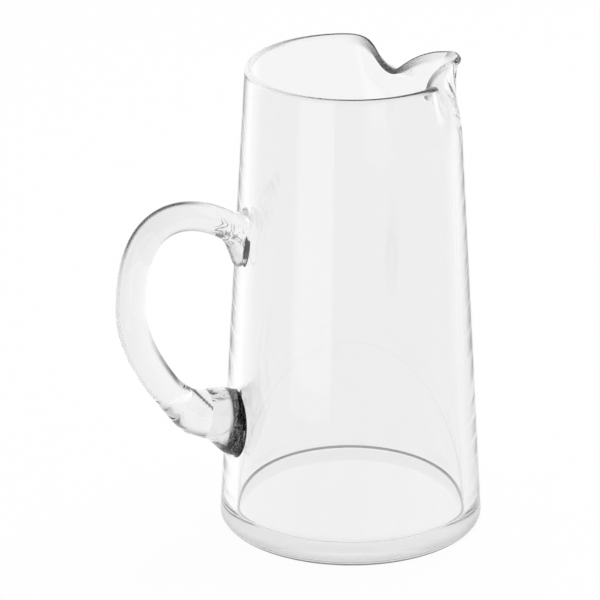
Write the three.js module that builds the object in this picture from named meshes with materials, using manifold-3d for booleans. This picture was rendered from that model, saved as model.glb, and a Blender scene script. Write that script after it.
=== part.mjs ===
// Glass pitcher with an ice lip and an applied handle, in millimetres, +Z up.
// The origin is the middle of the underside; the lip points along +X and the handle along -X.
import * as THREE from 'three';
import { mergeVertices } from 'three/addons/utils/BufferGeometryUtils.js';
import Module from 'manifold-3d';

const wasm = await Module();
wasm.setup();

// Vessel: a tapered wall that thins from the foot to the rim, on a thick flat base
const RIM_HEIGHT = 250;
const FOOT_RADIUS = 69.3;
const RIM_RADIUS = 54.6;
const FOOT_WALL = 8.4;
const RIM_WALL = 4.2;
const FLOOR_THICKNESS = 10.8;
const FOOT_ROUNDING = 4.2;
const FLOOR_FILLET = 1.5;

// Ice lip: the rim is pinched in on both sides and drawn out to a narrow pouring channel between
const PINCH_IN = 15.9;
const PINCH_THINNING = 0.43;
const PINCH_DIP = 14.2;
const PINCH_ANGLE = THREE.MathUtils.degToRad(33.5);
const PINCH_SPREAD = THREE.MathUtils.degToRad(21);
const DIP_SPREAD = THREE.MathUtils.degToRad(17);
const PINCH_DEPTH = 42;
const FADE = 3;
const CHANNEL_PULL = 4.5;
const CHANNEL_SPREAD = THREE.MathUtils.degToRad(9);
const LIP_CURL = 4;
const LIP_CURL_DEPTH = 8;
const LIP_DROP = 1.2;
const FLAT_TOPPED = 4;
const ROUND_TOPPED = 2;

// Handle: a solid rod on one curve in the XZ plane, from the upper seal out to the grip and back in
const UPPER_END_HEIGHT = 174.4;
const UPPER_STANDOFF = 11.4;
const UPPER_SLOPE = THREE.MathUtils.degToRad(34);
const UPPER_RUN = 17.5;
const GRIP_HEIGHT = 135;
const GRIP_REACH = 61.2;
const GRIP_RUN_UP = 60;
const GRIP_RUN_DOWN = 25;
const LOWER_END_HEIGHT = 71.7;
const LOWER_STANDOFF = 18.6;
const LOWER_SLOPE = THREE.MathUtils.degToRad(12);
const LOWER_RUN = 14;
const ROD_RADIUS_UPPER = 7.6;
const ROD_RADIUS_LOWER = 8.8;
const ROD_FLARE = 3.6;
const ROD_FLARE_LENGTH = 24;

// Pads: the two seals that spread from the rod's ends to an oval on the wall and sag to a lobe below
const SEAL_GAP = 0.3;
const PAD_ROOT = 30;
const UPPER_PAD_DROP = 8.7;
const UPPER_PAD_HEIGHT = 32.4;
const UPPER_PAD_WIDTH = 13;
const UPPER_PAD_LOBE = 5.6;
const UPPER_PAD_LEAN = 2;
const UPPER_PAD_FLARE = 2;
const LOWER_PAD_DROP = 8.7;
const LOWER_PAD_HEIGHT = 37.5;
const LOWER_PAD_WIDTH = 24.8;
const LOWER_PAD_LOBE = 2.5;
const LOWER_PAD_LEAN = 1.6;
const LOWER_PAD_FLARE = 1;

// Facets: columns crowd towards the lip, where the wall bends most
const COLUMNS = 88;
const COLUMN_CROWDING = 0.58;
const WALL_STEPS = 2;
const LIP_STEPS = 9;
const ARC_STEPS = 4;
const ROD_SIDES = 20;
const ROD_STEPS = 30;
const PAD_SIDES = 28;
const PAD_STEPS = 12;
const CUTTER_SIDES = 180;

const glass = () => new THREE.MeshStandardMaterial({ color: 0xeef2f2, roughness: 0.03, metalness: 0 });

const outerRadius = (height) => THREE.MathUtils.lerp(FOOT_RADIUS, RIM_RADIUS, height / RIM_HEIGHT);
const wallThickness = (height) => THREE.MathUtils.lerp(FOOT_WALL, RIM_WALL, height / RIM_HEIGHT);
const bump = (angle, middle, spread, shape) => Math.exp(-(Math.abs((angle - middle) / spread) ** shape));

// Grows from 0 at a depth below the rim to 1 at the rim
const fadeIn = (height, depth) => THREE.MathUtils.clamp(1 - (RIM_HEIGHT - height) / depth, 0, 1) ** FADE;

// How far the pinches reach at a place on the wall, from 0 to 1
const pinchAt = (turn, height) => fadeIn(height, PINCH_DEPTH)
  * bump(Math.abs(turn), PINCH_ANGLE, PINCH_SPREAD, FLAT_TOPPED);

// A point on the middle of the wall, with the lip's pinch, pull and curl fading out below the rim
function wallMiddle(turn, height) {
  const angle = Math.abs(turn);
  const pinched = fadeIn(height, PINCH_DEPTH);
  const curled = fadeIn(height, LIP_CURL_DEPTH);
  const pinch = PINCH_IN * pinchAt(turn, height);
  const channel = bump(angle, 0, CHANNEL_SPREAD, FLAT_TOPPED);
  const pull = (CHANNEL_PULL * pinched + LIP_CURL * curled) * channel;
  const dip = PINCH_DIP * pinched * bump(angle, PINCH_ANGLE, DIP_SPREAD, ROUND_TOPPED);
  const drop = LIP_DROP * curled * bump(angle, 0, CHANNEL_SPREAD, ROUND_TOPPED);
  const radius = outerRadius(height) - wallThickness(height) / 2 + pull - pinch;
  return new THREE.Vector3(radius * Math.cos(turn), radius * Math.sin(turn), height - dip - drop);
}

// Half the wall's thickness at a place; the pinches stretched the glass thinner
function halfWall(turn, height) {
  return (wallThickness(height) / 2) * (1 - PINCH_THINNING * pinchAt(turn, height));
}

// The wall's own directions at a point: out through the glass, and up along it
function wallFrame(turn, height) {
  const step = 1e-3;
  const around = wallMiddle(turn + step, height).sub(wallMiddle(turn - step, height));
  const up = wallMiddle(turn, height + step).sub(wallMiddle(turn, height - step)).normalize();
  const out = around.cross(up).normalize();
  return { out, up };
}

// One column of the vessel's skin, from the underside out, up the wall, over the rim and down inside
function vesselColumn(turn) {
  const [outX, outY] = [Math.cos(turn), Math.sin(turn)];
  const flat = (radius, height) => new THREE.Vector3(radius * outX, radius * outY, height);
  const rimMiddle = RIM_HEIGHT - RIM_WALL / 2;
  const lipStart = RIM_HEIGHT - PINCH_DEPTH;
  const onWall = (height, side) => {
    const { out } = wallFrame(turn, height);
    return wallMiddle(turn, height).addScaledVector(out, side * halfWall(turn, height));
  };
  const column = [];
  const footCentre = outerRadius(FOOT_ROUNDING) - FOOT_ROUNDING;
  for (let i = 0; i <= ARC_STEPS; i += 1) {
    const a = (Math.PI / 2) * (i / ARC_STEPS);
    column.push(flat(footCentre + FOOT_ROUNDING * Math.sin(a), FOOT_ROUNDING * (1 - Math.cos(a))));
  }
  const heights = [];
  const floorTop = FLOOR_THICKNESS + FLOOR_FILLET;
  for (let i = 0; i < WALL_STEPS; i += 1) {
    heights.push(THREE.MathUtils.lerp(floorTop, lipStart, (i + 0.5) / WALL_STEPS));
  }
  for (let i = 0; i <= LIP_STEPS; i += 1) {
    heights.push(THREE.MathUtils.lerp(lipStart, rimMiddle, i / LIP_STEPS));
  }
  for (const height of heights) column.push(onWall(height, 1));
  const { out, up } = wallFrame(turn, rimMiddle);
  const bead = halfWall(turn, rimMiddle);
  for (let i = 1; i < 2 * ARC_STEPS; i += 1) {
    const a = Math.PI * (i / (2 * ARC_STEPS));
    const point = wallMiddle(turn, rimMiddle).addScaledVector(out, bead * Math.cos(a));
    column.push(point.addScaledVector(up, bead * Math.sin(a)));
  }
  for (const height of heights.reverse()) column.push(onWall(height, -1));
  const innerRadius = outerRadius(floorTop) - wallThickness(floorTop);
  for (let i = 0; i <= ARC_STEPS; i += 1) {
    const a = (Math.PI / 2) * (i / ARC_STEPS);
    const radius = innerRadius - FLOOR_FILLET * (1 - Math.cos(a));
    column.push(flat(radius, floorTop - FLOOR_FILLET * Math.sin(a)));
  }
  return column;
}

// A closed skin from columns of points set side by side, with a centre point at each end of the columns
function skinFromColumns(columns, first, last) {
  const rows = columns[0].length;
  const centres = [first, last];
  const points = [...centres, ...columns.flat()];
  const at = (c, r) => centres.length + (c % columns.length) * rows + r;
  const faces = [];
  for (let c = 0; c < columns.length; c += 1) {
    faces.push(0, at(c + 1, 0), at(c, 0), 1, at(c, rows - 1), at(c + 1, rows - 1));
    for (let r = 0; r < rows - 1; r += 1) {
      faces.push(at(c, r), at(c + 1, r), at(c + 1, r + 1), at(c, r), at(c + 1, r + 1), at(c, r + 1));
    }
  }
  const geometry = new THREE.BufferGeometry().setFromPoints(points);
  geometry.setIndex(faces);
  return geometry;
}

function vesselGeometry() {
  const columns = [];
  for (let c = 0; c < COLUMNS; c += 1) {
    const even = 2 * Math.PI * (c / COLUMNS);
    const turn = even - COLUMN_CROWDING * Math.sin(even);
    columns.push(vesselColumn(turn > Math.PI ? turn - 2 * Math.PI : turn));
  }
  return skinFromColumns(columns, new THREE.Vector3(0, 0, 0), new THREE.Vector3(0, 0, FLOOR_THICKNESS));
}

// Where the rod's ends and its grip lie, and the way the rod leaves each seal
const slopeWay = (slope) => new THREE.Vector3(-Math.cos(slope), 0, Math.sin(slope));
const offWall = (height, standoff) => new THREE.Vector3(-outerRadius(height) - standoff, 0, height);
const upperWay = slopeWay(UPPER_SLOPE);
const lowerWay = slopeWay(LOWER_SLOPE);
const upperEnd = offWall(UPPER_END_HEIGHT, UPPER_STANDOFF);
const lowerEnd = offWall(LOWER_END_HEIGHT, LOWER_STANDOFF);
const grip = offWall(GRIP_HEIGHT, GRIP_REACH);
const down = new THREE.Vector3(0, 0, -1);

// The rod swept along its curve, growing from its upper to its lower radius and flared at its lower end
function rodGeometry() {
  const path = new THREE.CurvePath();
  path.add(new THREE.CubicBezierCurve3(
    upperEnd,
    upperEnd.clone().addScaledVector(upperWay, UPPER_RUN),
    grip.clone().addScaledVector(down, -GRIP_RUN_UP),
    grip,
  ));
  path.add(new THREE.CubicBezierCurve3(
    grip,
    grip.clone().addScaledVector(down, GRIP_RUN_DOWN),
    lowerEnd.clone().addScaledVector(lowerWay, LOWER_RUN),
    lowerEnd,
  ));
  const side = new THREE.Vector3(0, 1, 0);
  const rings = [];
  for (let i = 0; i <= ROD_STEPS; i += 1) {
    const along = i / ROD_STEPS;
    const normal = side.clone().cross(path.getTangentAt(along));
    const toEnd = path.getLength() * (1 - along);
    const flare = ROD_FLARE * THREE.MathUtils.smoothstep(ROD_FLARE_LENGTH - toEnd, 0, ROD_FLARE_LENGTH);
    const radius = THREE.MathUtils.lerp(ROD_RADIUS_UPPER, ROD_RADIUS_LOWER, along ** 2) + flare;
    rings.push(ringOfPoints(path.getPointAt(along), normal, side, ROD_SIDES, () => [radius, radius]));
  }
  return skinFromColumns(columnsOf(rings), upperEnd, lowerEnd);
}

// A ring of points about a centre, in the plane of two directions, with its two radii at each angle
function ringOfPoints(centre, first, second, sides, radiiAt) {
  const ring = [];
  for (let c = 0; c < sides; c += 1) {
    const a = 2 * Math.PI * (c / sides);
    const [firstRadius, secondRadius] = radiiAt(a);
    ring.push(centre.clone()
      .addScaledVector(first, firstRadius * Math.cos(a))
      .addScaledVector(second, secondRadius * Math.sin(a)));
  }
  return ring;
}

const columnsOf = (rings) => rings[0].map((_, c) => rings.map((ring) => ring[c]));

function solidOf(geometry) {
  const bare = geometry.clone();
  bare.deleteAttribute('normal');
  bare.deleteAttribute('uv');
  const merged = mergeVertices(bare);
  return new wasm.Manifold(new wasm.Mesh({
    numProp: 3,
    vertProperties: new Float32Array(merged.attributes.position.array),
    triVerts: new Uint32Array(merged.index.array),
  }));
}

function geometryOf(solid) {
  const mesh = solid.getMesh();
  const geometry = new THREE.BufferGeometry();
  geometry.setAttribute('position', new THREE.BufferAttribute(new Float32Array(mesh.vertProperties), 3));
  geometry.setIndex(new THREE.BufferAttribute(new Uint32Array(mesh.triVerts), 1));
  return geometry;
}

// A seal lofted from the rod's end to an oval on the wall, cut clear of the vessel's outside
function padGeometry({ end, way, rodRadius, drop, height, width, lobe, lean, flare }) {
  const middle = end.z - drop;
  const seat = offWall(middle, 0);
  const rodFace = end.clone().addScaledVector(way, -SEAL_GAP);
  const knee = rodFace.clone().addScaledVector(way, -rodFace.distanceTo(seat) / 2);
  const spine = new THREE.QuadraticBezierCurve3(rodFace, knee, seat);
  const side = new THREE.Vector3(0, 1, 0);
  const intoWall = new THREE.Vector3(1, 0, 0);
  const rings = [];
  for (let i = 0; i <= PAD_STEPS; i += 1) {
    const share = i / PAD_STEPS;
    const across = way.clone().negate().lerp(intoWall, share).normalize();
    const upright = THREE.MathUtils.lerp(rodRadius, height / 2, share ** flare);
    const sideways = THREE.MathUtils.lerp(rodRadius, width / 2, share ** flare);
    const sag = lobe * Math.sin(Math.PI * share ** lean) ** 2;
    const radiiAt = (a) => [upright + sag * Math.max(0, Math.cos(a)), sideways];
    rings.push(ringOfPoints(spine.getPoint(share), side.clone().cross(across), side, PAD_SIDES, radiiAt));
  }
  const buried = offWall(middle, -PAD_ROOT);
  rings.push(ringOfPoints(buried, down, side, PAD_SIDES, () => [height / 2, width / 2]));
  const loft = skinFromColumns(columnsOf(rings), rodFace, buried);
  return geometryOf(solidOf(loft).subtract(solidOf(outsideOfVessel())));
}

// The vessel's outside, wider by the seal gap
function outsideOfVessel() {
  const foot = new THREE.Vector2(outerRadius(0) + SEAL_GAP, 0);
  const rim = new THREE.Vector2(outerRadius(RIM_HEIGHT) + SEAL_GAP, RIM_HEIGHT);
  const outline = [new THREE.Vector2(0, 0), foot, rim, new THREE.Vector2(0, RIM_HEIGHT)];
  return new THREE.LatheGeometry(outline, CUTTER_SIDES).rotateX(Math.PI / 2);
}

const pitcher = new THREE.Group();
const pieces = {
  vessel: vesselGeometry(),
  handle: rodGeometry(),
  upper_handle_pad: padGeometry({
    end: upperEnd,
    way: upperWay,
    rodRadius: ROD_RADIUS_UPPER,
    drop: UPPER_PAD_DROP,
    height: UPPER_PAD_HEIGHT,
    width: UPPER_PAD_WIDTH,
    lobe: UPPER_PAD_LOBE,
    lean: UPPER_PAD_LEAN,
    flare: UPPER_PAD_FLARE,
  }),
  lower_handle_pad: padGeometry({
    end: lowerEnd,
    way: lowerWay,
    rodRadius: ROD_RADIUS_LOWER + ROD_FLARE,
    drop: LOWER_PAD_DROP,
    height: LOWER_PAD_HEIGHT,
    width: LOWER_PAD_WIDTH,
    lobe: LOWER_PAD_LOBE,
    lean: LOWER_PAD_LEAN,
    flare: LOWER_PAD_FLARE,
  }),
};
for (const [name, geometry] of Object.entries(pieces)) {
  const mesh = new THREE.Mesh(geometry, glass());
  mesh.name = name;
  pitcher.add(mesh);
}

export default pitcher;
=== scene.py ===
"""Clear glass pitcher: a spun body with a pinched lip, and a drawn handle sealed on with two pads."""
import math

import bpy
from mathutils import Matrix, Vector
from mathutils.geometry import interpolate_bezier


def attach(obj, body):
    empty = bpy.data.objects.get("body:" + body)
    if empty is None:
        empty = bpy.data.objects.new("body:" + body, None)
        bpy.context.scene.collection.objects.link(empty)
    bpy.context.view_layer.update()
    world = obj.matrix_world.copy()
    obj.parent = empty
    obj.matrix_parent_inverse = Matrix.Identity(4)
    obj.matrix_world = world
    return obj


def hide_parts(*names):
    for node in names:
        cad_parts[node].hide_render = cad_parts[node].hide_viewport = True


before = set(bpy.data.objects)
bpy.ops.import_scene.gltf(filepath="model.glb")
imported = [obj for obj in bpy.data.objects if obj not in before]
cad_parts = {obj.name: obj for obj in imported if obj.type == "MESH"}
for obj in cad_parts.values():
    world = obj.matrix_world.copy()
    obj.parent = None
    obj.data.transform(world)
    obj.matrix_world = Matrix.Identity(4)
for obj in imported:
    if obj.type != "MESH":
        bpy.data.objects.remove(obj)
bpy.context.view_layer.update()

MM = 0.001

# Body: a tapered wall that thins from the foot to the rim, on a thick flat base
RIM_HEIGHT = 250 * MM
FOOT_RADIUS = 69.3 * MM
RIM_RADIUS = 54.6 * MM
FOOT_WALL = 8.4 * MM
RIM_WALL = 4.2 * MM
FLOOR_THICKNESS = 10.8 * MM
FOOT_ROUNDING = 4.2 * MM
FLOOR_FILLET = 1.5 * MM

# Pouring lip: the rim is pinched in on both sides and drawn out to a narrow channel between
PINCH_IN = 15.9 * MM
PINCH_THINNING = 0.43
PINCH_DIP = 14.2 * MM
PINCH_ANGLE = math.radians(33.5)
PINCH_SPREAD = math.radians(21)
DIP_SPREAD = math.radians(17)
PINCH_DEPTH = 42 * MM
FADE = 3
CHANNEL_PULL = 4.5 * MM
CHANNEL_SPREAD = math.radians(9)
LIP_CURL = 4 * MM
LIP_CURL_DEPTH = 8 * MM
LIP_DROP = 1.2 * MM
FLAT_TOPPED = 4
ROUND_TOPPED = 2

# Handle: a solid rod on one curve, from the upper seal out to the grip and back in
UPPER_END_HEIGHT = 174.4 * MM
UPPER_STANDOFF = 11.4 * MM
UPPER_SLOPE = math.radians(34)
UPPER_RUN = 17.5 * MM
GRIP_HEIGHT = 135 * MM
GRIP_REACH = 61.2 * MM
GRIP_RUN_UP = 60 * MM
GRIP_RUN_DOWN = 25 * MM
LOWER_END_HEIGHT = 71.7 * MM
LOWER_STANDOFF = 18.6 * MM
LOWER_SLOPE = math.radians(12)
LOWER_RUN = 14 * MM
ROD_RADIUS_UPPER = 7.6 * MM
ROD_RADIUS_LOWER = 8.8 * MM
ROD_FLARE = 3.6 * MM
ROD_FLARE_LENGTH = 24 * MM

# Seals: pads of glass that spread from the rod's ends to an oval on the wall and sag to a lobe below.
# The oval sits a drop below the rod's end. A higher lean brings the lobe nearer the wall, and a higher
# flare keeps the spread near the wall.
SEAL_GAP = 0.02 * MM
MELTED_TO = 166 * MM
UPPER_PAD = {
    "drop": 8.7 * MM,
    "height": 32.4 * MM,
    "width": 13 * MM,
    "lobe": 5.6 * MM,
    "lean": 2,
    "flare": 2,
}
LOWER_PAD = {
    "drop": 8.7 * MM,
    "height": 37.5 * MM,
    "width": 24.8 * MM,
    "lobe": 2.5 * MM,
    "lean": 1.6,
    "flare": 1,
}

# Glass: how it bends light, how much its flow marks tint it, and the wave of the folds inside it
REFRACTION = 1.51
FLOW_DETAIL = 2
FLOW_RANGE = (0.3, 0.7)
FLOW_TINTS = (0.995, 1.005)
FOLD_WAVE = {"Scale": 90, "Distortion": 16, "Detail": 1, "Detail Scale": 2}

# Edges: how grazing and how upright the glass is where painted shade darkens it, and where its limb is
# clear again
RIM_FACING = (0.15, 0.35)
ROD_FACING = (0.27, 0.52)
EDGE_UP = (0.1, 0.5)
EDGE_SHADE = 0.985
LIMB_FACING = (0.55, 0.85)

# Rim: painted shade in a band at its edge and in the stretch inside the pinches, and the parts that stay
# clear
RIM_BAND = (3.5 * MM, 1.5 * MM)
PINCH_SEEN = (math.radians(37), math.radians(24))
CLEAR_RIM = math.radians(165)
CLEAR_RIM_REACH = (math.radians(20), math.radians(80))
CLEAR_LIP = (math.radians(-11), math.radians(14))
CLEAR_LIP_SHARE = 0.75

# Base: painted shade in a line round the floor's corner, and in a line and paler bands round the foot
CORNER_LINE = (math.radians(20), math.radians(89))
CORNER_SHADE = 0.85
FOOT_LINE = 2.2 * MM
FOOT_BANDS = ((5 * MM, 8 * MM), (12 * MM, 18 * MM))
FOOT_BAND_SHADE = 0.26
FOOT_SHADE = 0.97

# Painted shade on one side: the turn it is centred on, and how it fades round the body, up the wall and
# face on
SIDE_TURN = math.radians(-24)
SIDE_REACH = math.radians(70)
SIDE_HEIGHTS = (60 * MM, 200 * MM)
SIDE_TOP_SHARE = 0.45
SIDE_FACING = (0.35, 0.65)
SIDE_SHADE = 0.38

# Lower seal: painted shade in a ring at the wall, broader below, with pale streaks
RING_REACH = 10.2 * MM
RING_SLANT = 0.12
RING_EDGE = 1.5 * MM
RING_STREAKS = 0.08
STREAK_RANGE = (0.5, 1)

# Upper seal: folds of glass in it, and the lines of painted shade that stand for them on the lower part of
# the rod's end
SEAL_FOLDS = (10 * MM, 18 * MM)
FOLD_REACH = (7 * MM, 9 * MM)
FOLD_TOP = (1 * MM, 4 * MM)
FOLD_RANGE = 20 * MM
FOLD_SHADE_LINES = (0.12, 0.4)
FOLD_SHADE = 0.75

# Rod: a painted shade line along its top fades near both ends, and another crosses its side above the
# lower end
TOP_LINE_UPPER = (12 * MM, 30 * MM)
TOP_LINE_LOWER = (18 * MM, 30 * MM)
LINE_ACROSS = Vector((0.737, -0.031, 0.676))
LINE_PLACE = -7.4 * MM
LINE_WIDTH = (0.4 * MM, 1 * MM)
LINE_LENGTH = (22 * MM, 27 * MM)

# Fineness of the meshes: how many steps each stretch has, and where the rings on the flat discs are
BODY_COLUMNS = 520
WALL_RINGS = ((4.6 * MM, 8), (18 * MM, 3), (40 * MM, 16), (86 * MM, 6), (146 * MM, 10), (170 * MM, 5))
LIP_RINGS = 28
INNER_RINGS = 26
ROUND_STEPS = 14
DISC_SHARES = (0, 0.4, 0.8, 0.95, 0.99)
ROD_CUTS = 7
ROD_STEPS = 14
ROD_SIDES = 128
LENGTH_STEPS = 24
PAD_SIDES = 96
PAD_RINGS = 14
PAD_FACE_SHARES = (0.97, 0.9, 0.75, 0.5, 0.25, 0.08)
MERGE = 0.001 * MM
SMOOTH_TO = math.radians(50)

# How near a face lies to the floor, the wall or a rod's end to touch it, and how it is turned to the wall
FLOOR_NEAR = 0.1 * MM
WALL_NEAR = 0.3 * MM
END_NEAR = 1 * MM
WALL_TURNED = 0.8

# Camera, fitted to the picture: where the object's middle lands and how far off the camera stands
PICTURE = 600
VIEW_TURN = math.radians(24)
VIEW_ELEVATION = math.radians(21.9)
VIEW_DISTANCE = 2.2
PIXELS_PER_MM = 1.923
MIDDLE_PIXEL = (355.18, 293.6)
CAMERA_ROLL = math.radians(-0.12)
SENSOR = 36
CAMERA_SIDE = Vector((-math.sin(VIEW_TURN), -math.cos(VIEW_TURN), 0))

# Studio, in metres: a white floor, a room dim overhead and on the camera's side, and two soft lamps
FLOOR_SIZE = 6
FLOOR_DROP = 0.1 * MM
FLOOR_GREY = 0.9
FLOOR_GLOW = 0.97
ROOM_LEVEL = 0.2
DIM_SIDE = (0.2, 0.6)
DIM_TOP = (0.3, 0.9)
OVERHEAD_BOX = {
    "turn": math.radians(150),
    "height": 1.6,
    "distance": 0.5,
    "width": 1,
    "tall": 1,
    "level": 6,
}
SIDE_BOX = {
    "turn": math.radians(-35),
    "height": 0.15,
    "distance": 0.3,
    "width": 0.2,
    "tall": 0.3,
    "level": 0.55,
}
GLASS_BOUNCES = 40


def lerp(low, high, share):
    return low + (high - low) * share


def ease(value, low, high):
    share = min(1, max(0, (value - low) / (high - low)))
    return share * share * (3 - 2 * share)


def fade_in(height, depth):
    """Grows from 0 at a depth below the rim to 1 at the rim."""
    return min(1, max(0, 1 - (RIM_HEIGHT - height) / depth)) ** FADE


def bump(angle, middle, spread, shape):
    return math.exp(-abs((angle - middle) / spread) ** shape)


def outer_radius(height):
    return lerp(FOOT_RADIUS, RIM_RADIUS, height / RIM_HEIGHT)


def wall_thickness(height):
    return lerp(FOOT_WALL, RIM_WALL, height / RIM_HEIGHT)


def middle_radius(height):
    return outer_radius(height) - wall_thickness(height) / 2


RIM_MIDDLE = RIM_HEIGHT - RIM_WALL / 2
LIP_START = RIM_HEIGHT - PINCH_DEPTH
TAPER = (middle_radius(RIM_HEIGHT) - middle_radius(0)) / RIM_HEIGHT
SLANT = math.hypot(1, TAPER)


def pinch_at(turn, height):
    """How far the pinches reach at a place on the wall, from 0 to 1."""
    return fade_in(height, PINCH_DEPTH) * bump(abs(turn), PINCH_ANGLE, PINCH_SPREAD, FLAT_TOPPED)


def wall_middle(turn, height):
    """A point on the middle of the wall; the lip's pinch, pull and curl fade out below the rim."""
    angle = abs(turn)
    pinched = fade_in(height, PINCH_DEPTH)
    curled = fade_in(height, LIP_CURL_DEPTH)
    pinch = PINCH_IN * pinch_at(turn, height)
    channel = bump(angle, 0, CHANNEL_SPREAD, FLAT_TOPPED)
    pull = (CHANNEL_PULL * pinched + LIP_CURL * curled) * channel
    dip = PINCH_DIP * pinched * bump(angle, PINCH_ANGLE, DIP_SPREAD, ROUND_TOPPED)
    drop = LIP_DROP * curled * bump(angle, 0, CHANNEL_SPREAD, ROUND_TOPPED)
    radius = middle_radius(height) + pull - pinch
    return Vector((radius * math.cos(turn), radius * math.sin(turn), height - dip - drop))


def wall_frame(turn, height):
    """The wall's middle point there, with its ways out through the glass and up along it."""
    step = 1e-4
    across = wall_middle(turn + step, height) - wall_middle(turn - step, height)
    up = wall_middle(turn, height + step * MM) - wall_middle(turn, height - step * MM)
    return wall_middle(turn, height), across.cross(up).normalized(), up.normalized()


def off_wall(height, standoff):
    return Vector((-outer_radius(height) - standoff, 0, height))


def slope_way(slope):
    return Vector((-math.cos(slope), 0, math.sin(slope)))


UPPER_WAY = slope_way(UPPER_SLOPE)
LOWER_WAY = slope_way(LOWER_SLOPE)
UPPER_END = off_wall(UPPER_END_HEIGHT, UPPER_STANDOFF)
LOWER_END = off_wall(LOWER_END_HEIGHT, LOWER_STANDOFF)
GRIP = off_wall(GRIP_HEIGHT, GRIP_REACH)
UP = Vector((0, 0, 1))


def clear_selection():
    if bpy.context.object and bpy.context.object.mode != "OBJECT":
        bpy.ops.object.mode_set(mode="OBJECT")
    bpy.ops.object.select_all(action="DESELECT")


def finish_mesh(merged):
    """Merges the doubles of the piece in hand, where it has any, and turns its faces outwards."""
    bpy.ops.object.mode_set(mode="EDIT")
    bpy.ops.mesh.select_all(action="SELECT")
    if merged:
        bpy.ops.mesh.remove_doubles(threshold=MERGE)
    bpy.ops.mesh.normals_make_consistent(inside=False)
    bpy.ops.object.mode_set(mode="OBJECT")


def link(tree, start, end):
    tree.links.new(start, end)


def math_node(tree, operation, *values):
    node = tree.nodes.new("ShaderNodeMath")
    node.operation = operation
    for socket, value in zip(node.inputs, values):
        if isinstance(value, (int, float)):
            socket.default_value = value
        else:
            link(tree, value, socket)
    return node.outputs["Value"]


def ramp(tree, value, start, end, low, high):
    """Goes smoothly from a low to a high level as a value goes from start to end."""
    node = tree.nodes.new("ShaderNodeMapRange")
    node.interpolation_type = "SMOOTHSTEP"
    for name, level in (("From Min", start), ("From Max", end), ("To Min", low), ("To Max", high)):
        node.inputs[name].default_value = level
    link(tree, value, node.inputs["Value"])
    return node.outputs["Result"]


def mix_levels(tree, share, start, end):
    node = tree.nodes.new("ShaderNodeMix")
    for socket, value in zip(node.inputs[:1] + node.inputs[2:4], (share, start, end)):
        if isinstance(value, (int, float)):
            socket.default_value = value
        else:
            link(tree, value, socket)
    return node.outputs[0]


def painted(tree, name):
    """Reads a mark that is painted on the points of a piece."""
    node = tree.nodes.new("ShaderNodeAttribute")
    node.attribute_name = name
    return node.outputs["Fac"]


def clear_glass(name, stretch, waves, depth, mirror, edge_facing, tints_and_side_shade, swirl=0, streaks=0):
    """Clear fire-polished glass with faint flow marks, darkened by painted shade at its edges, its painted
    marks and one side.
    """
    material = bpy.data.materials.new(name)
    material.use_nodes = True
    tree = material.node_tree
    shader = tree.nodes["Principled BSDF"]
    shader.inputs["Roughness"].default_value = 0
    shader.inputs["IOR"].default_value = REFRACTION
    shader.inputs["Transmission Weight"].default_value = 1
    local = tree.nodes.new("ShaderNodeTexCoord")
    drawn = tree.nodes.new("ShaderNodeMapping")
    drawn.inputs["Scale"].default_value = stretch
    link(tree, local.outputs["Object"], drawn.inputs["Vector"])
    flow = tree.nodes.new("ShaderNodeTexNoise")
    flow.inputs["Scale"].default_value = waves
    flow.inputs["Detail"].default_value = FLOW_DETAIL
    link(tree, drawn.outputs["Vector"], flow.inputs["Vector"])
    marks = tree.nodes.new("ShaderNodeBump")
    marks.inputs["Strength"].default_value = 1
    marks.inputs["Distance"].default_value = depth
    folds = tree.nodes.new("ShaderNodeTexWave")
    for label, level in FOLD_WAVE.items():
        folds.inputs[label].default_value = level
    link(tree, local.outputs["Object"], folds.inputs["Vector"])
    facing = tree.nodes.new("ShaderNodeLayerWeight").outputs["Facing"]
    surface = tree.nodes.new("ShaderNodeNewGeometry").outputs
    parts = tree.nodes.new("ShaderNodeSeparateXYZ")
    link(tree, surface["Normal"], parts.inputs["Vector"])
    outside = math_node(tree, "SUBTRACT", 1, surface["Backfacing"])

    def both(first, second):
        return math_node(tree, "MULTIPLY", first, second)

    def either(first, second):
        return math_node(tree, "MAXIMUM", first, second)

    def seen_from_air(mark):
        return both(painted(tree, mark), outside)

    folded = both(folds.outputs["Fac"], painted(tree, "folds"))
    height = math_node(tree, "MULTIPLY_ADD", folded, swirl, flow.outputs["Fac"])
    link(tree, height, marks.inputs["Height"])
    link(tree, marks.outputs["Normal"], shader.inputs["Normal"])

    # Painted shade: grazing upper edges and the painted marks darken the glass's colour and its reflection
    upright = ramp(tree, parts.outputs["Z"], *EDGE_UP, 0, 1)
    top_edge = both(both(ramp(tree, facing, *edge_facing, 0, 1), upright), painted(tree, "top_shade_line"))
    streaked = ramp(tree, folds.outputs["Fac"], *STREAK_RANGE, 1, 1 - streaks)
    edge = either(top_edge, both(seen_from_air("edge_on_shade"), streaked))
    lines = ramp(tree, folds.outputs["Fac"], *FOLD_SHADE_LINES, FOLD_SHADE, 0)
    edge = either(edge, both(seen_from_air("fold_shade_lines"), lines))
    corner = seen_from_air("floor_corner_shade")
    foot = seen_from_air("foot_shade_line")
    side = both(seen_from_air("shaded_side"), ramp(tree, facing, *SIDE_FACING, 0, 1))

    limb = ramp(tree, facing, *LIMB_FACING, 0, 1)
    # Painted shade: the tint is darker on the side whose faces turn towards minus x
    sideways = ramp(tree, parts.outputs["X"], -1, 1, *tints_and_side_shade)
    tint_and_shade = both(sideways, ramp(tree, flow.outputs["Fac"], *FLOW_RANGE, *FLOW_TINTS))
    clear = mix_levels(tree, either(limb, painted(tree, "untinted")), tint_and_shade, 1)
    mirrored = mix_levels(tree, limb, mirror, 1)
    shades = ((edge, EDGE_SHADE), (corner, CORNER_SHADE), (foot, FOOT_SHADE), (side, SIDE_SHADE))
    for place, shade in shades:
        kept = math_node(tree, "MULTIPLY_ADD", place, -shade, 1)
        mirrored = both(mirrored, kept)
        clear = both(clear, kept)
    link(tree, mirrored, shader.inputs["Specular Tint"])
    link(tree, clear, shader.inputs["Base Color"])
    return material


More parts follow.
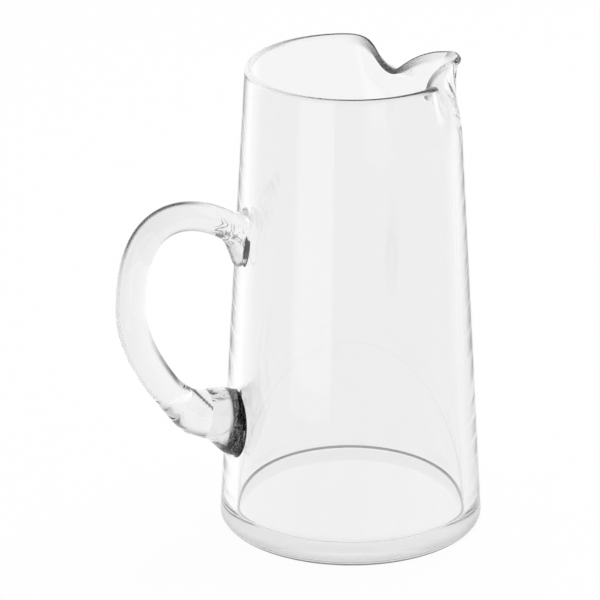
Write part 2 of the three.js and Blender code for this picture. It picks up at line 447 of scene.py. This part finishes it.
def fused_face():
    """The hidden faces where two pieces are melted into one: light goes straight on."""
    material = bpy.data.materials.new("fused_face")
    material.use_nodes = True
    tree = material.node_tree
    tree.nodes.remove(tree.nodes["Principled BSDF"])
    through = tree.nodes.new("ShaderNodeBsdfTransparent")
    link(tree, through.outputs["BSDF"], tree.nodes["Material Output"].inputs["Surface"])
    return material


FUSED = fused_face()
BODY_GLASS = clear_glass(
    "body_glass", stretch=(1, 1, 0.35), waves=28, depth=0.003 * MM, mirror=0.99,
    edge_facing=RIM_FACING, tints_and_side_shade=(0.85, 0.85),
)
ROD_GLASS = clear_glass(
    "rod_glass", stretch=(1, 1, 1), waves=30, depth=0.02 * MM, mirror=0.93,
    edge_facing=ROD_FACING, tints_and_side_shade=(0.8, 1),
)
UPPER_GLASS = clear_glass(
    "upper_seal_glass", stretch=(1, 1, 1), waves=90, depth=0.05 * MM, mirror=0.98,
    edge_facing=ROD_FACING, tints_and_side_shade=(0.85, 0.95), swirl=1,
)
LOWER_GLASS = clear_glass(
    "lower_seal_glass", stretch=(1, 1, 1), waves=60, depth=0.08 * MM, mirror=0.85,
    edge_facing=ROD_FACING, tints_and_side_shade=(0.75, 0.9), streaks=RING_STREAKS,
)


def body_outline():
    """Half the body's section as (radius, height), from the underside's middle round to the floor's."""
    def on_wall(height, side):
        away = side * wall_thickness(height) / 2 / SLANT
        return middle_radius(height) + away, height - away * TAPER

    def steps(start, end, count):
        return [lerp(start, end, i / count) for i in range(count + 1)]

    foot = outer_radius(FOOT_ROUNDING) - FOOT_ROUNDING
    floor_top = FLOOR_THICKNESS + FLOOR_FILLET
    wall_foot = floor_top - TAPER * wall_thickness(floor_top) / 2 / SLANT
    inside = on_wall(wall_foot, -1)[0]
    points = [(foot * share, 0) for share in DISC_SHARES]
    for a in steps(0, math.pi / 2, ROUND_STEPS):
        points.append((foot + FOOT_ROUNDING * math.sin(a), FOOT_ROUNDING * (1 - math.cos(a))))
    wall = []
    ends = [start for start, _ in WALL_RINGS[1:]] + [LIP_START]
    for (start, count), end in zip(WALL_RINGS, ends):
        wall += steps(start, end, count)[:-1]
    lip = steps(LIP_START, RIM_MIDDLE, LIP_RINGS)
    for height in wall + lip:
        points.append(on_wall(height, 1))
    bead = wall_thickness(RIM_MIDDLE) / 2
    for a in steps(0, math.pi, ROUND_STEPS)[1:-1]:
        out = bead * math.cos(a) / SLANT
        rise = bead * math.sin(a) / SLANT
        points.append((middle_radius(RIM_MIDDLE) + out + rise * TAPER, RIM_MIDDLE - out * TAPER + rise))
    inner_wall = steps(LIP_START, wall_foot + MM, INNER_RINGS)[1:] + [wall_foot]
    for height in lip[::-1] + inner_wall:
        points.append(on_wall(height, -1))
    for a in steps(0, math.pi / 2, ROUND_STEPS)[1:]:
        corner = inside - FLOOR_FILLET * (1 - math.cos(a))
        points.append((corner, floor_top - FLOOR_FILLET * math.sin(a)))
    edge = inside - FLOOR_FILLET
    points += [(edge * share, FLOOR_THICKNESS) for share in reversed(DISC_SHARES)]
    return points


def spin_body():
    """The body's section is extruded point by point and spun about the upright axis."""
    clear_selection()
    bpy.ops.mesh.primitive_plane_add(size=MM)
    body = bpy.context.object
    body.name = "glass_body"
    bpy.ops.object.mode_set(mode="EDIT")
    bpy.ops.mesh.merge(type="CENTER")
    points = [Vector((radius, 0, height)) for radius, height in body_outline()]
    bpy.ops.transform.translate(value=points[0])
    for here, there in zip(points, points[1:]):
        bpy.ops.mesh.extrude_vertices_move(TRANSFORM_OT_translate={"value": there - here})
    bpy.ops.mesh.select_all(action="SELECT")
    bpy.ops.mesh.spin(steps=BODY_COLUMNS, angle=2 * math.pi, center=(0, 0, 0), axis=(0, 0, 1))
    finish_mesh(merged=True)
    bpy.ops.object.shade_smooth()
    return body


def pinch_lip(body):
    """Moves the points of the upper wall as the hot rim was pinched in and drawn out."""
    start = middle_radius(0)
    for point in body.data.vertices:
        x, y, z = point.co
        beyond = math.hypot(x, y) - start
        height = (beyond * TAPER + z) / SLANT ** 2
        if height <= LIP_START:
            continue
        away = (beyond - z * TAPER) / SLANT
        base = min(height, RIM_MIDDLE)
        turn = math.atan2(y, x)
        middle, out, up = wall_frame(turn, base)
        kept = 1 - PINCH_THINNING * pinch_at(turn, base)
        point.co = middle + (out * away + up * (height - base) * SLANT) * kept


def paint(piece, mark, level_at):
    """Writes a mark's level at each point of a piece, for its glass to read."""
    marks = piece.data.attributes.new(mark, "FLOAT", "POINT").data
    for index, point in enumerate(piece.data.vertices):
        marks[index].value = level_at(point.co)


def paint_body(body):
    """Marks where the body has painted shade (rim, pinches, floor corner, foot, one side) and has no tint.
    """
    def from_axis(place):
        return math.hypot(place.x, place.y)

    def turn(place):
        return math.atan2(place.y, place.x)

    def shaded_rim(place):
        off = abs((turn(place) - CLEAR_RIM + math.pi) % (2 * math.pi) - math.pi)
        lip = 1 - CLEAR_LIP_SHARE * bump(turn(place), *CLEAR_LIP, FLAT_TOPPED)
        return rim_band(place) * ease(off, *CLEAR_RIM_REACH) * lip

    def pinched_rim(place):
        return inside_rim(place) * rim_band(place) * bump(abs(turn(place)), *PINCH_SEEN, FLAT_TOPPED)

    def inner(place):
        return from_axis(place) < middle_radius(place.z)

    def inside_rim(place):
        return inner(place) or place.z > RIM_MIDDLE

    def rim_band(place):
        height = ((from_axis(place) - middle_radius(0)) * TAPER + place.z) / SLANT ** 2
        return ease(height, RIM_MIDDLE - RIM_BAND[0], RIM_MIDDLE - RIM_BAND[1])

    # Painted shade: a dark line round the floor's corner, and a line and bands round the foot
    def on_corner(place):
        sunk = (FLOOR_THICKNESS + FLOOR_FILLET - place.z) / FLOOR_FILLET
        return inner(place) and math.sin(CORNER_LINE[0]) < sunk < math.sin(CORNER_LINE[1])

    def on_foot(place):
        if from_axis(place) <= outer_radius(FOOT_ROUNDING) - FOOT_ROUNDING:
            return 0
        band = FOOT_BAND_SHADE * sum(1 - ease(place.z, *reach) for reach in FOOT_BANDS)
        return 1 if place.z < FOOT_LINE else band

    def flat(place):
        return inner(place) and place.z < FLOOR_THICKNESS + FLOOR_NEAR

    def untinted(place):
        return flat(place) or not inner(place)

    # Painted shade: one side of the outer wall is greyer, more so low down
    def shaded_side(place):
        if inner(place):
            return 0
        level = lerp(1, SIDE_TOP_SHARE, ease(place.z, *SIDE_HEIGHTS))
        return level * (1 - ease(abs(turn(place) - SIDE_TURN), 0, SIDE_REACH))

    # Painted shade: dark lines at the rim, inside the pinches, round the floor's corner and the foot, and
    # a grey side
    paint(body, "top_shade_line", shaded_rim)
    paint(body, "edge_on_shade", pinched_rim)
    paint(body, "floor_corner_shade", on_corner)
    paint(body, "foot_shade_line", on_foot)
    paint(body, "untinted", untinted)
    paint(body, "shaded_side", shaded_side)


def rod_top_shade_line(place):
    """The painted shade line along the rod's top fades near both ends."""
    from_upper = (place - UPPER_END).length
    from_lower = (place - LOWER_END).length
    return ease(from_upper, *TOP_LINE_UPPER) * ease(from_lower, *TOP_LINE_LOWER)


def rod_crossing_line(place):
    """A painted shade line crosses one side of the rod above its lower end."""
    off = abs(LINE_ACROSS.dot(place) - LINE_PLACE)
    near = 1 - ease((place - LOWER_END).length, *LINE_LENGTH)
    return (1 - ease(off, *LINE_WIDTH)) * near * (place.y < 0)


def fold_shade_lines(place):
    """Folds trapped at the upper seal are drawn as fine lines of painted shade on the lower part of the
    rod's end.
    """
    off = place - UPPER_END
    rise = off.dot(Vector((math.sin(UPPER_SLOPE), 0, math.cos(UPPER_SLOPE))))
    near = off.length < FOLD_RANGE
    return near * (1 - ease(abs(off.dot(UPPER_WAY)), *FOLD_REACH)) * (1 - ease(rise, *FOLD_TOP))


def pad_ring(place):
    """Painted shade in a ring round the lower seal at the wall, broader below."""
    reach = RING_REACH + RING_SLANT * (LOWER_END.z - LOWER_PAD["drop"] - place.z)
    gap = math.hypot(place.x, place.y) - outer_radius(place.z)
    return 1 - ease(gap, reach - RING_EDGE, reach)


def seal_folds(place):
    """How much the glass of the upper seal is folded, most at the rod's end."""
    return 1 - ease((place - UPPER_END).length, *SEAL_FOLDS)


def fuse_wall(body, end, pad, melted_to):
    """The wall's faces under a seal pass light straight on, and their edge follows the seal's oval."""
    mesh = body.data
    middle, height, width = end.z - pad["drop"], pad["height"], pad["width"]

    def from_middle(point):
        return math.hypot((point.z - middle) / (height / 2), point.y / (width / 2))

    def near_seal(face):
        x, y, z = face.center
        outer = math.hypot(x, y) >= middle_radius(z)
        return outer and max(x, face.normal.x) <= 0 and abs(z - middle) <= height and z <= melted_to

    under, beside = set(), set()
    for face in filter(near_seal, mesh.polygons):
        if from_middle(face.center) < 1:
            face.material_index = 1
            under.update(face.vertices)
        else:
            beside.update(face.vertices)
    for index in under & beside:
        point = mesh.vertices[index]
        share = 1 / from_middle(point.co)
        y, z = point.co.y * share, middle + (point.co.z - middle) * share
        point.co = (-math.sqrt(outer_radius(z) ** 2 - y * y), y, z)


def draw_rod():
    """The handle's rod: a curve with its own thickness along it, made a mesh."""
    clear_selection()
    bpy.ops.curve.primitive_bezier_curve_add()
    rod = bpy.context.object
    rod.name = "glass_rod"
    curve = rod.data
    curve.dimensions = "3D"
    spline = curve.splines[0]
    spline.bezier_points.add(1)
    ways = (
        (UPPER_END, UPPER_END - UPPER_WAY * UPPER_RUN, UPPER_END + UPPER_WAY * UPPER_RUN),
        (GRIP, GRIP + UP * GRIP_RUN_UP, GRIP - UP * GRIP_RUN_DOWN),
        (LOWER_END, LOWER_END + LOWER_WAY * LOWER_RUN, LOWER_END - LOWER_WAY * LOWER_RUN),
    )
    for point, (place, before, after) in zip(spline.bezier_points, ways):
        point.handle_left_type = point.handle_right_type = "FREE"
        point.co, point.handle_left, point.handle_right = place, before, after
    bpy.ops.object.mode_set(mode="EDIT")
    bpy.ops.curve.select_all(action="SELECT")
    bpy.ops.curve.subdivide(number_cuts=ROD_CUTS)
    bpy.ops.object.mode_set(mode="OBJECT")
    points = curve.splines[0].bezier_points
    reached = [0]
    for here, there in zip(points, points[1:]):
        bits = interpolate_bezier(here.co, here.handle_right, there.handle_left, there.co, LENGTH_STEPS)
        reached.append(reached[-1] + sum((b - a).length for a, b in zip(bits, bits[1:])))
    for point, length in zip(points, reached):
        to_end = reached[-1] - length
        flare = ROD_FLARE * ease(ROD_FLARE_LENGTH - to_end, 0, ROD_FLARE_LENGTH)
        radius = lerp(ROD_RADIUS_UPPER, ROD_RADIUS_LOWER, (length / reached[-1]) ** 2) + flare
        point.radius = radius / ROD_RADIUS_UPPER
    curve.splines[0].radius_interpolation = "CARDINAL"
    curve.bevel_depth = ROD_RADIUS_UPPER
    curve.bevel_resolution = ROD_SIDES // 2 - 2
    curve.resolution_u = ROD_STEPS
    curve.use_fill_caps = True
    bpy.ops.object.convert(target="MESH")
    finish_mesh(merged=True)
    bpy.ops.object.shade_smooth_by_angle(angle=SMOOTH_TO)
    return rod


def press_pad(name, end, way, rod_radius, pad):
    """A seal drawn from the rod's end to an oval on the wall, with a lobe below and a face on the wall."""
    clear_selection()
    bpy.ops.mesh.primitive_circle_add(vertices=PAD_SIDES, radius=rod_radius, fill_type="NGON")
    seal = bpy.context.object
    seal.name = name
    bpy.ops.object.mode_set(mode="EDIT")
    bpy.ops.mesh.select_all(action="SELECT")
    # Each ring is first put one step up, so that its height tells its number
    for _ in range(PAD_RINGS + len(PAD_FACE_SHARES)):
        bpy.ops.mesh.extrude_region_move(TRANSFORM_OT_translate={"value": (0, 0, MM)})
    bpy.ops.object.mode_set(mode="OBJECT")
    seat = off_wall(end.z - pad["drop"], 0)
    rod_face = end - way * SEAL_GAP
    knee = rod_face - way * (seat - rod_face).length / 2
    side = Vector((0, 1, 0))
    into_wall = Vector((1, 0, 0))
    for point in seal.data.vertices:
        aside, rise = point.co.x / rod_radius, point.co.y / rod_radius
        ring = round(point.co.z / MM)
        share = min(1, ring / PAD_RINGS)
        across = (-way).lerp(into_wall, share).normalized()
        inward = PAD_FACE_SHARES[ring - PAD_RINGS - 1] if ring > PAD_RINGS else 1
        sag = pad["lobe"] * math.sin(math.pi * share ** pad["lean"]) ** 2 * max(0, -rise)
        upright = (lerp(rod_radius, pad["height"] / 2, share ** pad["flare"]) + sag) * inward * rise
        sideways = lerp(rod_radius, pad["width"] / 2, share ** pad["flare"]) * inward * aside
        spine = rod_face.lerp(knee, share).lerp(knee.lerp(seat, share), share)
        place = spine + across.cross(side) * upright + side * sideways
        wall = -math.sqrt((outer_radius(place.z) + SEAL_GAP) ** 2 - place.y ** 2)
        if ring >= PAD_RINGS or place.x > wall:
            place.x = wall
        point.co = place
    finish_mesh(merged=False)
    bpy.ops.object.shade_smooth_by_angle(angle=SMOOTH_TO)
    return seal


def fuse_faces(piece, fused):
    """The faces where a piece is melted to its neighbour pass light straight on."""
    for face in piece.data.polygons:
        if fused(face):
            face.material_index = 1


def dress(piece, glass, node):
    """Gives a piece its glass, sets it under the root body and hides the CAD node that it stands for."""
    piece.data.materials.clear()
    piece.data.materials.append(glass)
    piece.data.materials.append(FUSED)
    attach(piece, "root")
    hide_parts(node)


def near_wall(face):
    x, y, z = face.center
    return face.normal.x > WALL_TURNED and math.hypot(x, y) < outer_radius(z) + WALL_NEAR


def melted_to_wall(face):
    return near_wall(face) and face.center.z < MELTED_TO


def faces_end(place):
    return lambda face: (face.center - place).length < END_NEAR


body = spin_body()
dress(body, BODY_GLASS, "vessel")
paint_body(body)
pinch_lip(body)
fuse_wall(body, UPPER_END, UPPER_PAD, MELTED_TO)
fuse_wall(body, LOWER_END, LOWER_PAD, RIM_HEIGHT)

rod = draw_rod()
dress(rod, ROD_GLASS, "handle")
# Painted shade on the rod: a line along its top, a line across its side and fine lines near its upper end
paint(rod, "top_shade_line", rod_top_shade_line)
paint(rod, "edge_on_shade", rod_crossing_line)
paint(rod, "fold_shade_lines", fold_shade_lines)
fuse_faces(rod, faces_end(UPPER_END))
fuse_faces(rod, faces_end(LOWER_END))

upper_pad = press_pad("upper_seal", UPPER_END, UPPER_WAY, ROD_RADIUS_UPPER, UPPER_PAD)
dress(upper_pad, UPPER_GLASS, "upper_handle_pad")
paint(upper_pad, "folds", seal_folds)
# Painted shade: fine lines near the rod's upper end
paint(upper_pad, "fold_shade_lines", fold_shade_lines)
fuse_faces(upper_pad, faces_end(UPPER_END))
fuse_faces(upper_pad, melted_to_wall)

lower_pad = press_pad("lower_seal", LOWER_END, LOWER_WAY, ROD_RADIUS_LOWER + ROD_FLARE, LOWER_PAD)
dress(lower_pad, LOWER_GLASS, "lower_handle_pad")
# Painted shade: a dark ring round the seal at the wall
paint(lower_pad, "edge_on_shade", pad_ring)
fuse_faces(lower_pad, faces_end(LOWER_END))
fuse_faces(lower_pad, near_wall)


def sees_studio(tree):
    """1 for rays that show the set: straight from the camera, mirrored or through glass."""
    path = tree.nodes.new("ShaderNodeLightPath").outputs
    mirrored = math_node(tree, "MAXIMUM", path["Is Glossy Ray"], path["Is Transmission Ray"])
    return math_node(tree, "MAXIMUM", path["Is Camera Ray"], mirrored)


def studio_floor():
    """A pale matt floor that shows as white and keeps a faint shadow."""
    clear_selection()
    bpy.ops.mesh.primitive_plane_add(size=FLOOR_SIZE, location=(0, 0, -FLOOR_DROP))
    floor = bpy.context.object
    floor.name = "studio_floor"
    material = bpy.data.materials.new("white_sweep")
    material.use_nodes = True
    tree = material.node_tree
    tree.nodes.remove(tree.nodes["Principled BSDF"])
    matt = tree.nodes.new("ShaderNodeBsdfDiffuse")
    matt.inputs["Color"].default_value = (FLOOR_GREY, FLOOR_GREY, FLOOR_GREY, 1)
    white = tree.nodes.new("ShaderNodeEmission")
    mix = tree.nodes.new("ShaderNodeMixShader")
    link(tree, math_node(tree, "MULTIPLY", sees_studio(tree), FLOOR_GLOW), mix.inputs["Fac"])
    link(tree, matt.outputs["BSDF"], mix.inputs[1])
    link(tree, white.outputs["Emission"], mix.inputs[2])
    link(tree, mix.outputs["Shader"], tree.nodes["Material Output"].inputs["Surface"])
    floor.data.materials.append(material)


def softbox(name, turn, height, distance, width, tall, level):
    """A soft lamp that faces the object, at a turn from the camera's side; level 1 is a white sheet's."""
    aim = Vector((0, 0, RIM_HEIGHT / 2))
    way = Matrix.Rotation(turn, 3, "Z") @ CAMERA_SIDE
    lamp = bpy.data.lights.new(name, "AREA")
    lamp.shape = "RECTANGLE"
    lamp.size, lamp.size_y = width, tall
    lamp.energy = level * math.pi * width * tall
    box = bpy.data.objects.new(name, lamp)
    bpy.context.collection.objects.link(box)
    box.location = way * distance + UP * height
    box.rotation_euler = (aim - box.location).to_track_quat("-Z", "Y").to_euler()
    return box


def studio_world():
    """A white room that is dim overhead and on the camera's side, and plain white to the camera."""
    world = bpy.data.worlds.new("studio")
    bpy.context.scene.world = world
    world.use_nodes = True
    tree = world.node_tree
    back = tree.nodes["Background"]
    place = tree.nodes.new("ShaderNodeTexCoord")
    towards = tree.nodes.new("ShaderNodeVectorMath")
    towards.operation = "DOT_PRODUCT"
    towards.inputs[1].default_value = CAMERA_SIDE
    link(tree, place.outputs["Generated"], towards.inputs[0])
    parts = tree.nodes.new("ShaderNodeSeparateXYZ")
    link(tree, place.outputs["Generated"], parts.inputs["Vector"])
    near_camera = ramp(tree, towards.outputs["Value"], *DIM_SIDE, 1, ROOM_LEVEL)
    overhead = ramp(tree, parts.outputs["Z"], *DIM_TOP, 1, ROOM_LEVEL)
    room = math_node(tree, "MULTIPLY", near_camera, overhead)
    path = tree.nodes.new("ShaderNodeLightPath")
    plain = math_node(tree, "MAXIMUM", path.outputs["Is Camera Ray"], room)
    link(tree, plain, back.inputs["Strength"])
    back.inputs["Color"].default_value = (1, 1, 1, 1)


def studio_camera():
    """The camera at the picture's place, turned so that the object lands where it does there."""
    focal = PIXELS_PER_MM * VIEW_DISTANCE / MM
    data = bpy.data.cameras.new("camera")
    data.sensor_width = SENSOR
    data.lens = SENSOR * focal / PICTURE
    camera = bpy.data.objects.new("camera", data)
    bpy.context.collection.objects.link(camera)
    level = math.cos(VIEW_ELEVATION)
    back = CAMERA_SIDE * level + UP * math.sin(VIEW_ELEVATION)
    camera.location = Vector((0, 0, RIM_HEIGHT / 2)) + back * VIEW_DISTANCE
    yaw = math.atan2(MIDDLE_PIXEL[0] - PICTURE / 2, focal)
    pitch = VIEW_ELEVATION - math.atan2(MIDDLE_PIXEL[1] - PICTURE / 2, focal)
    heading = Matrix.Rotation(-VIEW_TURN + yaw, 4, "Z")
    tilt = Matrix.Rotation(math.pi / 2 - pitch, 4, "X")
    roll = Matrix.Rotation(CAMERA_ROLL, 4, "Z")
    camera.rotation_euler = (heading @ tilt @ roll).to_euler()
    bpy.context.scene.camera = camera


def glass_bounces():
    """Light may cross the many faces of the glass before it is given up."""
    cycles = bpy.context.scene.cycles
    cycles.max_bounces = GLASS_BOUNCES
    cycles.glossy_bounces = GLASS_BOUNCES
    cycles.transmission_bounces = GLASS_BOUNCES
    cycles.transparent_max_bounces = GLASS_BOUNCES


studio_floor()
overhead = softbox("overhead_box", **OVERHEAD_BOX)
overhead.visible_glossy = overhead.visible_transmission = False
softbox("side_box", **SIDE_BOX)
studio_world()
studio_camera()
glass_bounces()
bpy.context.scene.view_settings.view_transform = "Standard"
